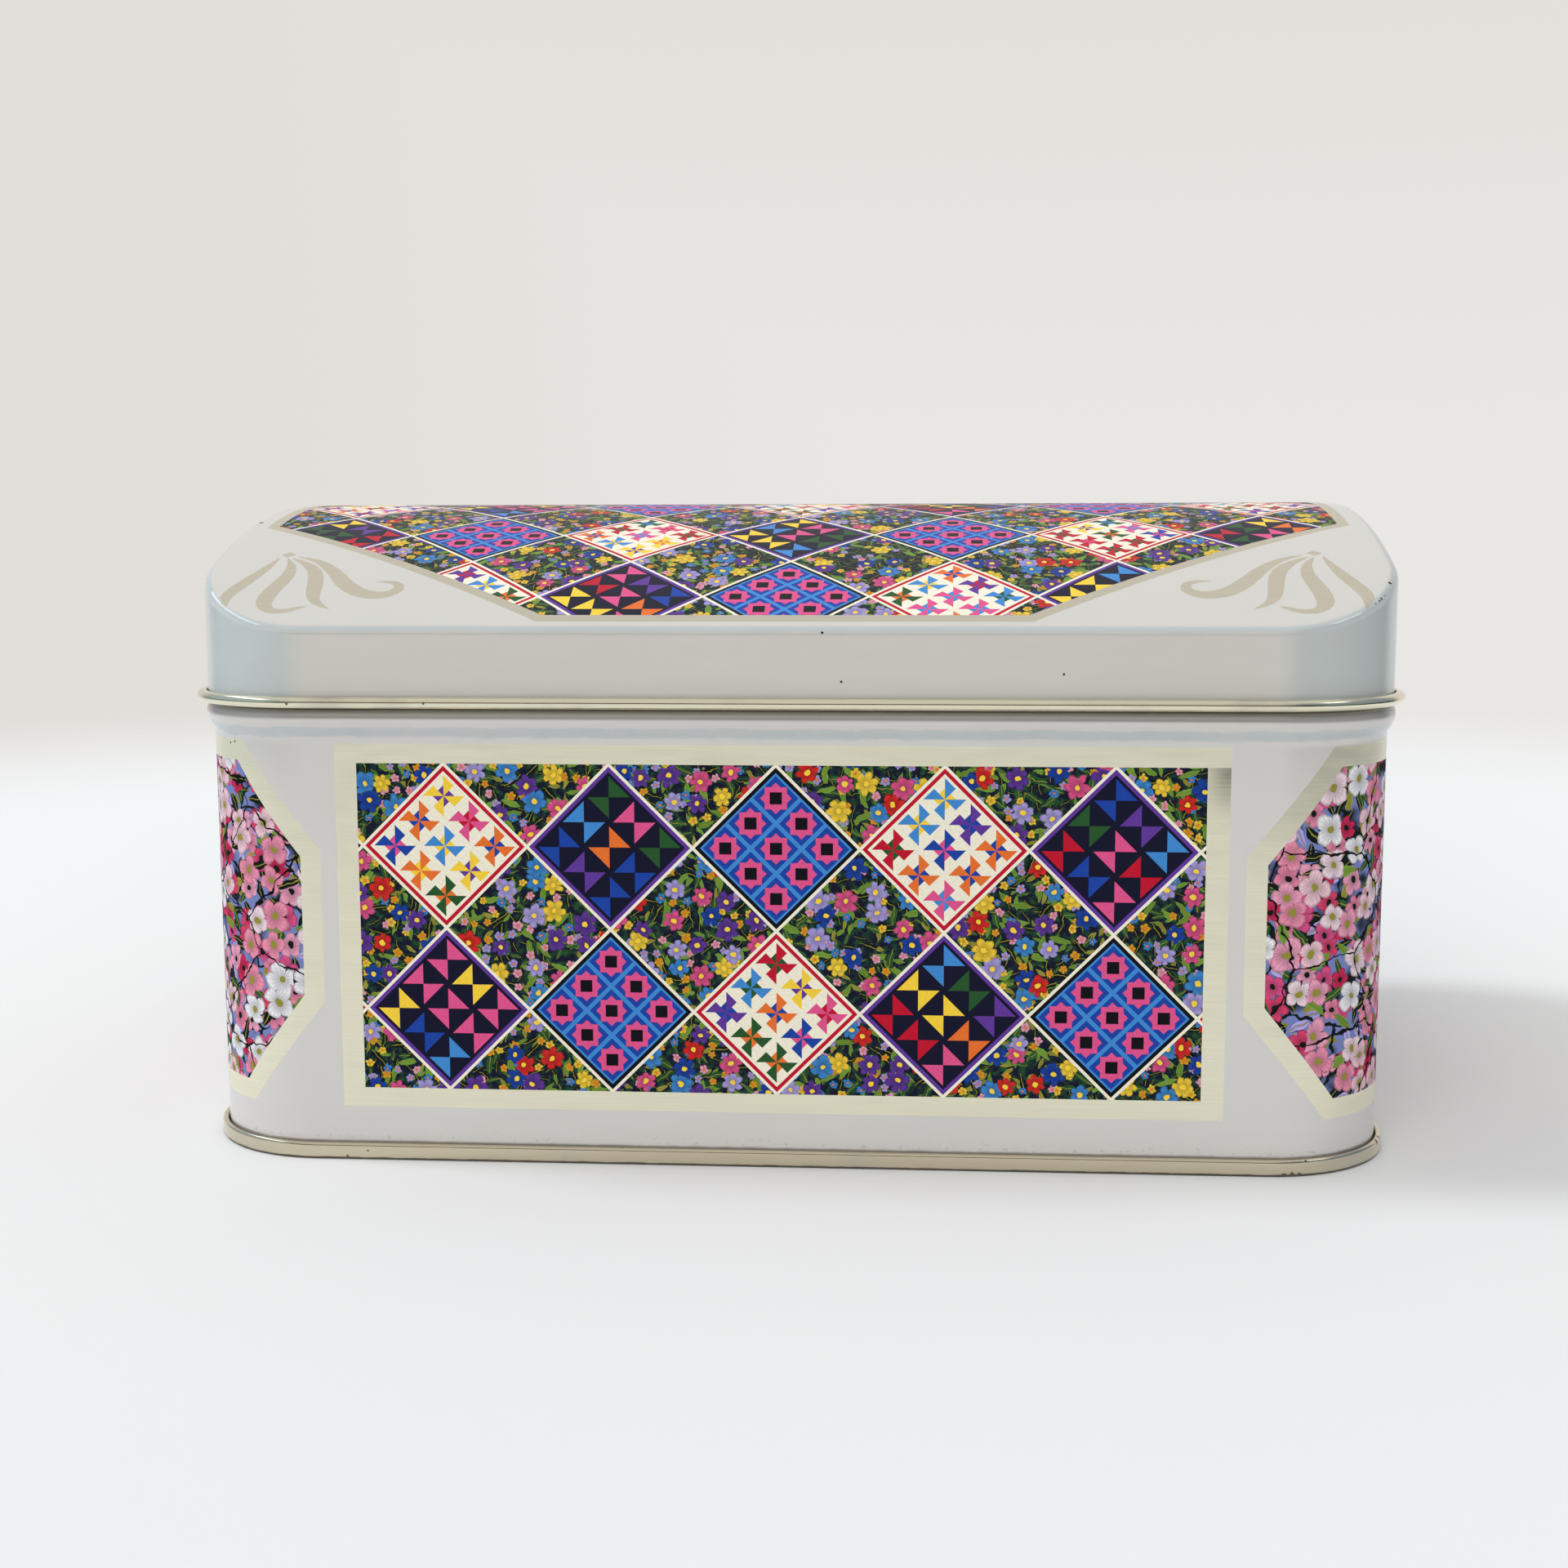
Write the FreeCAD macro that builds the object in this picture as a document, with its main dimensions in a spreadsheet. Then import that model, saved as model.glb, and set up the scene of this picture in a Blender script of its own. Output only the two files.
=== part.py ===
import FreeCAD, Part
import os
import re

import Sketcher

# A small arched-lid tin of printed tinplate, in millimetres.
# Origin: middle of the foot, on the surface that the tin stands on.
# +X right along the long side, +Y back, +Z up.

Vector = FreeCAD.Vector
START, END, CENTRE = 1, 2, 3
ORIGIN_POINT = (-1, START)

# Driving sizes: name, value, what it measures.
SIZES = (
    ("tinplate", 0.25, "thickness of the sheet"),
    ("body_width", 200.0, "outside of the wall, left to right"),
    ("body_depth", 148.0, "outside of the wall, front to back"),
    ("corner_radius", 21.0, "outside of the wall, seen from above"),
    ("seam_height", 2.8, "double seam round the foot"),
    ("seam_reach", 1.2, "how far the seam stands out from the wall"),
    ("foot_radius", 0.4, "rounding of the seam's foot, at mid-thickness"),
    ("panel_height", 3.4, "underside of the base panel above the floor"),
    ("panel_radius", 0.8, "turn from the seam into the panel, at mid-thickness"),
    ("panel_lip", 3.0, "flat strip of the panel beside that turn"),
    ("bead_mid", 74.3, "middle of the stop bead above the floor"),
    ("bead_height", 5.6, "stop bead, from lower to upper edge"),
    ("bead_reach", 1.3, "how far the bead stands out from the wall"),
    ("rim_height", 86.5, "top of the body's rolled rim above the floor"),
    ("hem_diameter", 1.8, "rolled rim, seen in section"),
    ("hem_tail", 1.0, "straight end of the rolled rim"),
    ("lock_width", 5.0, "fold of the lock seam inside the back wall"),
    ("lid_clearance", 0.75, "between the body's neck and the lid's skirt"),
    ("seat_gap", 0.3, "between the lid's curl and the bead it sits on"),
    ("curl_diameter", 2.0, "curl round the lid's mouth, seen in section"),
    ("curl_turn", 300.0, "degrees that the curl is rolled through"),
    ("skirt_height", 12.2, "lid skirt, from the middle of the curl to the lid's edge"),
    ("vault_rise", 20.0, "crest of the lid above its front and back edges"),
    ("edge_radius", 2.0, "rounding of the lid's edge"),
    ("overrun", 5.0, "how far a cut runs past what it cuts"),
)

# Worked-out sizes. A name that ends in line is how far back from the middle the sheet's mid-thickness lies.
DERIVED = (
    ("half_width", "body_width / 2"),
    ("half_depth", "body_depth / 2"),
    ("half_sheet", "tinplate / 2"),
    ("seam_gap", "seam_reach / 3 - tinplate"),
    ("wall_line", "half_depth - half_sheet"),
    ("end_hook_line", "half_depth + seam_gap + half_sheet"),
    ("hook_line", "end_hook_line + seam_gap + tinplate"),
    ("seaming_line", "hook_line + seam_gap + tinplate"),
    ("chuck_line", "wall_line - seam_gap - tinplate"),
    ("foot_turn", "half_sheet + foot_radius"),
    ("foot_outer_line", "seaming_line - foot_radius"),
    ("foot_inner_line", "chuck_line + foot_radius"),
    ("wall_turn", "tinplate + seam_gap + half_sheet + (hook_line - wall_line) / 2"),
    ("seam_turn", "seam_height - half_sheet - (seaming_line - end_hook_line) / 2"),
    ("hook_tip", "seam_turn - seam_gap"),
    ("panel_mid", "panel_height + half_sheet"),
    ("panel_turn", "panel_mid - panel_radius"),
    ("panel_start_line", "chuck_line - panel_radius"),
    ("lip_end_line", "panel_start_line - panel_lip"),
    ("panel_inset", "half_depth - panel_start_line + panel_lip / 2"),
    ("panel_top", "panel_height + tinplate"),
    ("bead_low", "bead_mid - bead_height / 2"),
    ("bead_high", "bead_mid + bead_height / 2"),
    ("bead_radius", "((bead_height / 2) ^ 2 + bead_reach ^ 2) / (2 * bead_reach)"),
    ("bead_centre_line", "wall_line + bead_reach - bead_radius"),
    ("hem_line", "wall_line - hem_diameter + tinplate"),
    ("rim_turn", "rim_height - hem_diameter / 2"),
    ("hem_end", "rim_turn - hem_tail"),
    ("lock_fold", "2 * tinplate"),
    ("lock_low", "panel_top + seam_gap"),
    ("skirt_line", "half_depth + lid_clearance + half_sheet"),
    ("lid_outset", "lid_clearance + tinplate"),
    ("curl_radius", "curl_diameter / 2 - half_sheet"),
    ("curl_line", "skirt_line + curl_radius"),
    ("seat_reach", "bead_radius + half_sheet + seat_gap + curl_diameter / 2"),
    ("curl_mid", "bead_mid + sqrt(seat_reach ^ 2 - (curl_line - bead_centre_line) ^ 2)"),
    ("curl_tuck", "curl_mid + curl_diameter"),
    ("curl_end_line", "curl_line - curl_radius * cos(curl_turn * 1 deg)"),
    ("curl_end_height", "curl_mid - curl_radius * sin(curl_turn * 1 deg)"),
    ("lid_half_depth", "half_depth + lid_outset"),
    ("lid_edge", "curl_mid + skirt_height"),
    ("crest", "lid_edge + vault_rise"),
    ("vault_radius", "(lid_half_depth ^ 2 + vault_rise ^ 2) / (2 * vault_rise)"),
    ("vault_centre", "crest - vault_radius"),
    ("cut_reach", "lid_half_depth + overrun"),
    ("cut_low", "vault_centre + sqrt(vault_radius ^ 2 - cut_reach ^ 2)"),
    ("cut_top", "crest + 2 * overrun"),
    ("block_height", "skirt_height + vault_rise + overrun"),
    ("cut_length", "body_width + 2 * (lid_outset + overrun)"),
)

doc = FreeCAD.newDocument("tin_box")
sheet = doc.addObject("Spreadsheet::Sheet", "Sizes")


def fill_sheet():
    """Writes each size in its own row: name, value or formula, meaning."""
    rows = [(name, str(value), meaning) for name, value, meaning in SIZES]
    rows += [(name, "=" + formula, "worked out") for name, formula in DERIVED]
    for row, (name, content, meaning) in enumerate(rows, start=1):
        sheet.set(f"A{row}", name)
        sheet.set(f"B{row}", content)
        sheet.set(f"C{row}", meaning)
        sheet.setAlias(f"B{row}", name)
    doc.recompute()


def sized(formula):
    """The same formula with each size read from the sheet."""
    return re.sub(r"[a-z_]+", lambda found: "Sizes." + found.group(), formula)


def value(formula):
    """The number that a formula gives now, to place geometry before it is constrained."""
    return float(sheet.evalExpression(formula))


def bind(sketch, kind, places, formula):
    """Adds a dimension between points, such as DistanceX, and ties it to a formula."""
    where = [number for place in places for number in place]
    index = sketch.addConstraint(Sketcher.Constraint(kind, *where, value(formula)))
    sketch.setExpression(f"Constraints[{index}]", sized(formula))


def pin(sketch, place, x=None, y=None):
    """Fixes a point of the sketch at the given formulas, measured from its origin."""
    for kind, formula in (("DistanceX", x), ("DistanceY", y)):
        if formula is not None:
            bind(sketch, kind, (ORIGIN_POINT, place), formula)


def arc_centre(start, end, axis, known):
    """Centre of the arc through two points when one of the centre's coordinates is known."""
    other = 1 - axis
    squares = sum(b * b - a * a for a, b in zip(start, end))
    free = (squares / 2 - known * (end[axis] - start[axis])) / (end[other] - start[other])
    return Vector(known, free, 0) if axis == 0 else Vector(free, known, 0)


def draw(sketch, points, arcs, closed=False):
    """Draws a chain of lines and arcs through points given as formulas.

    arcs maps a segment's number to (axis, formula, turn): one coordinate of its centre, 0 for x or 1 for y, and
    whether it turns anticlockwise (1) or clockwise (-1). Every other segment is straight.
    """
    places = [(value(x), value(y)) for x, y in points]
    last = len(points) if closed else len(points) - 1
    ends = []
    for number in range(last):
        start, end = places[number], places[(number + 1) % len(places)]
        if number not in arcs:
            sketch.addGeometry(Part.LineSegment(Vector(*start, 0), Vector(*end, 0)), False)
            ends.append(((number, START), (number, END)))
            continue
        axis, formula, turn = arcs[number]
        centre = arc_centre(start, end, axis, value(formula))
        first, second = (start, end) if turn > 0 else (end, start)
        spokes = [Vector(*place, 0) - centre for place in (first, second)]
        circle = Part.Circle(centre, Vector(0, 0, 1), spokes[0].Length)
        angles = [circle.parameter(Vector(*place, 0)) for place in (first, second)]
        sketch.addGeometry(Part.ArcOfCircle(circle, *angles), False)
        ends.append(((number, START), (number, END)) if turn > 0 else ((number, END), (number, START)))
    for number, (start, end) in enumerate(ends):
        pin(sketch, start, *points[number])
        following = ends[(number + 1) % last]
        if closed or number + 1 < last:
            sketch.addConstraint(Sketcher.Constraint("Coincident", *end, *following[0]))
        else:
            pin(sketch, end, *points[-1])
        if number in arcs:
            axis, formula, turn = arcs[number]
            pin(sketch, (number, CENTRE), **{"xy"[axis]: formula})


def outline(sketch, outset):
    """Rounded rectangle that stands outside the wall by a formula, starting at the middle of the back."""
    x, y = f"half_width + {outset}", f"half_depth + {outset}"
    flat_x, flat_y = "half_width - corner_radius", "half_depth - corner_radius"
    points = [("0", y), (f"-({flat_x})", y), (f"-({x})", flat_y), (f"-({x})", f"-({flat_y})"),
              (f"-({flat_x})", f"-({y})"), (flat_x, f"-({y})"), (x, f"-({flat_y})"), (x, flat_y), (flat_x, y)]
    left, right = (0, f"-({flat_x})", 1), (0, flat_x, 1)
    arcs = {1: left, 3: left, 5: right, 7: right}
    draw(sketch, points, arcs, closed=True)


def free_sketch(name, upright):
    """A sketch outside any body: flat on the floor, or upright across the middle of the back wall."""
    sketch = doc.addObject("Sketcher::SketchObject", name)
    if upright:
        sketch.Placement = FreeCAD.Placement(Vector(0, 0, 0), FreeCAD.Rotation(Vector(1, 1, 1), 120))
    return sketch


def body_sketch(body, plane, name):
    """A sketch on one of a body's own origin planes."""
    support = next(item for item in body.Origin.OriginFeatures if item.Role == plane)
    sketch = body.newObject("Sketcher::SketchObject", name)
    sketch.AttachmentSupport = [(support, "")]
    sketch.MapMode = "FlatFace"
    return sketch


def rolled_sheet(name, path, points, arcs):
    """Sheet of even thickness whose mid-line follows the points, carried round the plan of the wall."""
    line = free_sketch(name + "_line", upright=True)
    draw(line, points, arcs)
    section = doc.addObject("Part::Offset2D", name + "_section")
    section.Source = line
    section.setExpression("Value", "Sizes.half_sheet")
    doc.recompute()
    roll = doc.addObject("Part::Sweep", name)
    roll.Sections = [section]
    roll.Spine = (path, [f"Edge{number + 1}" for number in range(len(path.Shape.Edges))])
    roll.Solid = True
    roll.Frenet = False
    return roll


def joined(label, pieces):
    """One solid made of several features of the same sheet."""
    whole = doc.addObject("Part::MultiFuse", label)
    whole.Shapes = pieces
    whole.Refine = True
    whole.Label = label
    whole.Placement = FreeCAD.Placement()
    return whole


def make_body_wall(path):
    """Wall strip: hook in the double seam, stop bead, neck, rolled-in rim and the lock seam's fold."""
    points = [("hook_line", "hook_tip"), ("hook_line", "wall_turn"), ("wall_line", "wall_turn"),
              ("wall_line", "bead_low"), ("wall_line", "bead_high"), ("wall_line", "rim_turn"),
              ("hem_line", "rim_turn"), ("hem_line", "hem_end")]
    arcs = {1: (1, "wall_turn", -1), 3: (0, "bead_centre_line", 1), 5: (1, "rim_turn", 1)}
    strip = rolled_sheet("wall_strip", path, points, arcs)
    fold = doc.addObject("Part::Box", "lock_fold")
    fold.setExpression("Length", "Sizes.lock_width")
    fold.setExpression("Width", "Sizes.lock_fold + Sizes.half_sheet")
    fold.setExpression("Height", "Sizes.bead_low - Sizes.lock_low")
    fold.setExpression("Placement.Base.x", "-Sizes.lock_width / 2")
    fold.setExpression("Placement.Base.y", "Sizes.wall_line - Sizes.half_sheet - Sizes.lock_fold")
    fold.setExpression("Placement.Base.z", "Sizes.lock_low")
    return joined("body_wall", [strip, fold])


def make_base_plate(path):
    """Base: hook, seaming wall, flat foot and chuck wall of the double seam, then the recessed panel."""
    points = [("end_hook_line", "wall_turn"), ("end_hook_line", "seam_turn"), ("seaming_line", "seam_turn"),
              ("seaming_line", "foot_turn"), ("foot_outer_line", "half_sheet"),
              ("foot_inner_line", "half_sheet"), ("chuck_line", "foot_turn"), ("chuck_line", "panel_turn"),
              ("panel_start_line", "panel_mid"), ("lip_end_line", "panel_mid")]
    arcs = {1: (1, "seam_turn", -1), 3: (1, "foot_turn", -1), 5: (1, "foot_turn", -1),
            7: (1, "panel_turn", 1)}
    ring = rolled_sheet("seam_ring", path, points, arcs)
    plan = free_sketch("panel_plan", upright=False)
    outline(plan, "(-panel_inset)")
    plan.setExpression("Placement.Base.z", "Sizes.panel_height")
    panel = doc.addObject("Part::Extrusion", "panel")
    panel.Base = plan
    panel.DirMode = "Normal"
    panel.Solid = True
    panel.setExpression("LengthFwd", "Sizes.tinplate")
    return joined("base_plate", [ring, panel])


def make_lid(path):
    """Lid: a block cut to the arch, its edge rounded and hollowed to the sheet, with a curl round the mouth."""
    body = doc.addObject("PartDesign::Body", "lid_shell")
    plan = body_sketch(body, "XY_Plane", "lid_plan")
    outline(plan, "lid_outset")
    plan.setExpression("AttachmentOffset.Base.z", "Sizes.curl_mid")
    block = body.newObject("PartDesign::Pad", "lid_block")
    block.Profile = plan
    block.setExpression("Length", "Sizes.block_height")
    doc.recompute()

    arch = body_sketch(body, "YZ_Plane", "lid_arch")
    draw(arch, [("cut_reach", "cut_low"), ("-cut_reach", "cut_low"), ("-cut_reach", "cut_top"),
                ("cut_reach", "cut_top")], {0: (1, "vault_centre", 1)}, closed=True)
    vault = body.newObject("PartDesign::Pocket", "lid_vault")
    vault.Profile = arch
    vault.SideType = "Symmetric"
    vault.setExpression("Length", "Sizes.cut_length")
    doc.recompute()
    if vault.Shape.Volume >= block.Shape.Volume:
        raise RuntimeError("the arch cut nothing off the lid's block")

    top = max(vault.Shape.Faces, key=lambda face: face.CenterOfMass.z)
    rim = [f"Edge{number}" for number, edge in enumerate(vault.Shape.Edges, start=1)
           if any(edge.isSame(other) for other in top.Edges)]
    rounded = body.newObject("PartDesign::Fillet", "lid_rounding")
    rounded.Base = (vault, rim)
    rounded.setExpression("Radius", "Sizes.edge_radius")
    doc.recompute()

    faces = rounded.Shape.Faces
    mouth = min(range(len(faces)), key=lambda number: faces[number].CenterOfMass.z)
    shell = body.newObject("PartDesign::Thickness", "lid_sheet")
    shell.Base = (rounded, [f"Face{mouth + 1}"])
    shell.Reversed = True
    shell.setExpression("Value", "Sizes.tinplate")
    doc.recompute()

    curl = rolled_sheet("lid_curl", path, [("skirt_line", "curl_tuck"), ("skirt_line", "curl_mid"),
                                           ("curl_end_line", "curl_end_height")], {1: (1, "curl_mid", 1)})
    return joined("lid", [body, curl])


def write(parts):
    """Checks every object, then writes each sub-part to its own file."""
    doc.recompute()
    for item in doc.Objects:
        if {"Invalid", "Error"} & set(item.State):
            raise RuntimeError(f"{item.Label} failed: {item.State}")
    for part in parts:
        shape = part.Shape
        if shape.isNull() or not shape.isValid() or len(shape.Solids) != 1:
            raise RuntimeError(f"{part.Label} is not one valid solid")
    os.makedirs("parts", exist_ok=True)
    for part in parts:
        box = part.Shape.optimalBoundingBox(False)
        print(part.Label, "volume", round(part.Shape.Volume, 1), "size", round(box.XLength, 2),
              round(box.YLength, 2), round(box.ZLength, 2), "from", round(box.ZMin, 3), "to", round(box.ZMax, 3))
        part.Shape.exportStep(f"parts/{part.Label}.step")


fill_sheet()
wall_plan = free_sketch("wall_plan", upright=False)
outline(wall_plan, "0")
doc.recompute()
write([make_body_wall(wall_plan), make_base_plate(wall_plan), make_lid(wall_plan)])
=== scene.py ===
# %% [markdown]
# A tin box for papers and keepsakes: printed tinplate, an arched lid that lifts off, a curl round the lid's
# mouth and a double seam round the foot. The CAD frame gives the sizes and the places of the pieces.
# Here every sheet is a surface worked out with numpy and thickened to tinplate. The print is a set of
# formulas on the surface, so that it stays sharp however near the camera comes.

import bpy
import numpy as np
from mathutils import Matrix, Vector


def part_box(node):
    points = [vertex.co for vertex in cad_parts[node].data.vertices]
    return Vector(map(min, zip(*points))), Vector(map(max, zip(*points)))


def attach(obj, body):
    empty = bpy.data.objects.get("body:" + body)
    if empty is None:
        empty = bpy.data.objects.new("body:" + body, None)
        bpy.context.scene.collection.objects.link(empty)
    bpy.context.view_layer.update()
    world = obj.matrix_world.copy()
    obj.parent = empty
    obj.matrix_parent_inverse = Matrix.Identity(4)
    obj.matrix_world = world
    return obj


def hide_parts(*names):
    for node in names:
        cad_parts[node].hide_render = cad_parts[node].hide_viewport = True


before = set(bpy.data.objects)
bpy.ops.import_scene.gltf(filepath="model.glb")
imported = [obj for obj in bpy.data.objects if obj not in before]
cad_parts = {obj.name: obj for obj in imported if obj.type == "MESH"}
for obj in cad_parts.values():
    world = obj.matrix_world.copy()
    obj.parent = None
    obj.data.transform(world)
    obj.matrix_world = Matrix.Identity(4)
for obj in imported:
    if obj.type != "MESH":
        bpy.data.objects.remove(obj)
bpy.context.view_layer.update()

# %% [markdown]
# The large sizes come from the frame's boxes, so the looks follow the CAD model if it changes.
# Tinware also has small sizes of its own, the thickness of the sheet and the plan's corner among them.
# Those of the seam, the bead and the curl stand where each is made.

# %% Sizes, in metres
MM = 0.001
SHEET = 0.25 * MM
CORNER = 21 * MM
SEAM_REACH = 1.2 * MM
CURL_REACH = 1.75 * MM

_, wall_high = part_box("body_wall")
_, base_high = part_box("base_plate")
lid_low, lid_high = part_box("lid")
WALL_X, WALL_Y = base_high.x - SEAM_REACH, base_high.y - SEAM_REACH
LID_X, LID_Y = lid_high.x - CURL_REACH, lid_high.y - CURL_REACH
LID_CORNER = CORNER + LID_X - WALL_X
RIM_TOP, CREST = wall_high.z, lid_high.z
PERIMETER = 4 * (WALL_X + WALL_Y - 2 * CORNER) + 2 * np.pi * CORNER
print(f"wall {2 * WALL_X / MM:.1f} by {2 * WALL_Y / MM:.1f} mm, {PERIMETER / MM:.1f} mm round")
print(f"rim at {RIM_TOP / MM:.1f} mm, crest of the lid at {CREST / MM:.2f} mm")

# %% [markdown]
# Across the middle the lid is a barrel vault, one arc from front to back. Its rise is what is left above the
# skirt, and the arc through both edges and the crest has the radius (half depth squared + rise squared) over
# twice the rise. The print on the lid needs this arc as well, so it comes first.

# %% The vault's arc
CURL_RADIUS = 1.0 * MM
SKIRT_HEIGHT = 12.2 * MM
CURL_MID = lid_low.z + CURL_RADIUS
VAULT_RISE = CREST - CURL_MID - SKIRT_HEIGHT
VAULT_RADIUS = (LID_Y**2 + VAULT_RISE**2) / (2 * VAULT_RISE)
VAULT_CENTRE = CREST - VAULT_RADIUS


def vault(y):
    """Height of the barrel vault: its centre plus the root of the radius squared less y squared."""
    return VAULT_CENTRE + np.sqrt(VAULT_RADIUS**2 - y**2)


print(f"vault rises {VAULT_RISE / MM:.2f} mm on a radius of {VAULT_RADIUS / MM:.1f} mm")

# %% [markdown]
# Seen from above, every sheet of the tin follows the same rounded rectangle. One function gives its points
# and outward directions, and every profile is carried round it: a point of the wall is a point of the plan
# plus so much outwards and so much up. A seaming machine works its way round a real tin in the same manner.

# %% The plan
ACROSS, QUARTER, ALONG = 61, 18, 36


def plan(half_x, half_y, corner):
    """Rounded rectangle: its right side from front to back, then the whole ring, anticlockwise from above.

    A corner point is the corner's centre plus the radius times (cos a, sin a), and its outward direction is
    (cos a, sin a). Straight runs are evenly spaced. Returns the side's points and directions, the ring's too.
    """
    turn = np.radians(np.linspace(-90, 0, QUARTER + 1))
    out = np.c_[np.cos(turn), np.sin(turn)]
    bend = np.array([half_x - corner, corner - half_y]) + corner * out
    run = np.linspace(corner - half_y, half_y - corner, ALONG + 1)[1:-1]
    side = np.vstack([bend, np.c_[np.full_like(run, half_x), run], bend[::-1] * [1, -1]])
    side_out = np.vstack([out, np.tile([1.0, 0.0], (len(run), 1)), out[::-1] * [1, -1]])
    row = np.linspace(corner - half_x, half_x - corner, ACROSS)
    front = np.c_[row, np.full(ACROSS, -half_y)]
    front_out = np.tile([0.0, -1.0], (ACROSS, 1))
    mirror = np.array([-1, 1])
    ring = np.vstack([front, side[1:], -front[1:], side[-2:0:-1] * mirror])
    ring_out = np.vstack([front_out, side_out[1:], -front_out[1:], side_out[-2:0:-1] * mirror])
    return side, side_out, ring, ring_out


print("points round the plan", len(plan(WALL_X, WALL_Y, CORNER)[2]))

# %% Profiles and how they are carried


def arc(centre, radius, start, end, steps):
    """Points of a circle's arc in the profile's plane, from one angle to another, in degrees."""
    angle = np.radians(np.linspace(start, end, steps + 1))
    return np.c_[centre[0] + radius * np.cos(angle), centre[1] + radius * np.sin(angle)]


def carried(ring, ring_out, reach, height):
    """Profile carried round a ring: the ring's point plus reach times its outward direction, at a height."""
    flat = ring[:, None] + ring_out[:, None] * reach[..., None]
    return np.concatenate([flat, np.broadcast_to(height, flat.shape[:2])[..., None]], axis=2)


def quads_between(number, closed):
    """Quads between neighbouring rows and columns of vertex numbers. Closed joins last row to first."""
    after = np.roll(number, -1, axis=0)
    rows = slice(None) if closed else slice(-1)
    first, second = number[rows], after[rows]
    quads = np.stack([first[:, :-1], second[:, :-1], second[:, 1:], first[:, 1:]], axis=2)
    return quads.reshape(-1, 4)


print("a quarter turn of radius 1 mm ends at", arc((0, 0), 1, 0, 90, 4)[-1].round(3))

# %% A sheet of tinplate


def new_sheet(name, points, faces, body, node, finishes):
    """A mesh of one sheet: smooth quads, thickened inwards, riding on its CAD body.

    The first finish is the outer side's. The last one is for the inner side and the cut edge.
    """
    mesh = bpy.data.meshes.new(name)
    mesh.from_pydata(points.reshape(-1, 3), [], faces.tolist())
    mesh.polygons.foreach_set("use_smooth", np.ones(len(faces), bool))
    for finish in finishes:
        mesh.materials.append(finish)
    piece = bpy.data.objects.new(name, mesh)
    bpy.context.scene.collection.objects.link(piece)
    gauge = piece.modifiers.new("tinplate", "SOLIDIFY")
    gauge.thickness, gauge.offset = SHEET, -1
    gauge.material_offset = gauge.material_offset_rim = len(finishes) - 1
    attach(piece, body)
    if node:
        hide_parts(node)
    print(name, len(mesh.vertices), "points", len(faces), "quads")
    return piece


print("tinplate", SHEET / MM, "mm thick")

# %% [markdown]
# The print on the real tin is ink and foil under clear varnish. Here it is shader maths. One small class
# wraps a socket, so a formula such as (wide < 3) & (high < 2) adds its own Math nodes and reads as Python.

# %% A socket that can be used in formulas


class Ink:
    """One socket of a material, so that shader maths reads as Python: each operator adds a Math node."""

    def __init__(self, tree, socket=None):
        self.tree, self.socket = tree, socket

    def node(self, kind, settings, sockets, output=0):
        """Adds a node of a type, sets its settings, then fills its sockets with values or links."""
        made = self.tree.nodes.new("ShaderNode" + kind)
        for name, value in settings.items():
            if name == "stops":
                made.color_ramp.interpolation, stops = value
                for number, (place, colour) in enumerate(stops):
                    ramp = made.color_ramp.elements
                    stop = ramp[number] if number < len(ramp) else ramp.new(place)
                    stop.position, stop.color = place, colour
            else:
                setattr(made, name, value)
        for name, value in sockets.items():
            if isinstance(value, Ink):
                self.tree.links.new(value.socket, made.inputs[name])
            else:
                made.inputs[name].default_value = value
        return Ink(self.tree, made.outputs[output] if len(made.outputs) else None)

    def also(self, output):
        """Another output of the same node."""
        return Ink(self.tree, self.socket.node.outputs[output])

    def math(self, operation, *others):
        """A Math node with this value first."""
        return self.node("Math", {"operation": operation}, dict(enumerate([self, *others])))

    def vector(self, operation, *others):
        """A Vector Math node with this vector first."""
        return self.node("VectorMath", {"operation": operation}, dict(enumerate([self, *others])))

    def parts(self):
        """The vector's x, y and z."""
        x = self.node("SeparateXYZ", {}, {0: self})
        return x, x.also("Y"), x.also("Z")

    def __add__(self, other):
        return self.math("ADD", other)

    __radd__ = __add__

    def __sub__(self, other):
        return self.math("SUBTRACT", other)

    def __rsub__(self, other):
        return self.node("Math", {"operation": "SUBTRACT"}, {0: other, 1: self})

    def __mul__(self, other):
        return self.math("MULTIPLY", other)

    __rmul__ = __mul__

    def __truediv__(self, other):
        return self.math("DIVIDE", other)

    def __pow__(self, other):
        return self.math("POWER", other)

    def __mod__(self, other):
        return self.math("FLOORED_MODULO", other)

    def __abs__(self):
        return self.math("ABSOLUTE")

    def __lt__(self, other):
        return self.math("LESS_THAN", other)

    def __gt__(self, other):
        return self.math("GREATER_THAN", other)

    def __and__(self, other):
        return self.math("MINIMUM", other)

    def __or__(self, other):
        return self.math("MAXIMUM", other)


print("shader maths ready, one Math node for each operator")

# %% [markdown]
# Colours are written as a screen shows them and turned into the linear numbers that a shader takes.
# They are mixed with Mix nodes and made lighter or darker with a vector's scale, because a Math node
# would turn them grey.

# %% Colours


def paint(red, green, blue):
    """A colour written as a screen shows it, from 0 to 255, as the linear colour that a shader takes."""
    share = np.array([red, green, blue]) / 255
    linear = np.where(share <= 0.04045, share / 12.92, ((share + 0.055) / 1.055) ** 2.4)
    return (*linear.tolist(), 1.0)


def blend(mask, under, over):
    """The under colour where the mask is 0 and the over colour where it is 1."""
    return mask.node("Mix", {"data_type": "RGBA"}, {0: mask, 6: under, 7: over}, 2)


def toned(colour, amount):
    """A colour made lighter or darker by a factor."""
    return amount.node("VectorMath", {"operation": "SCALE"}, {0: colour, "Scale": amount})


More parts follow.
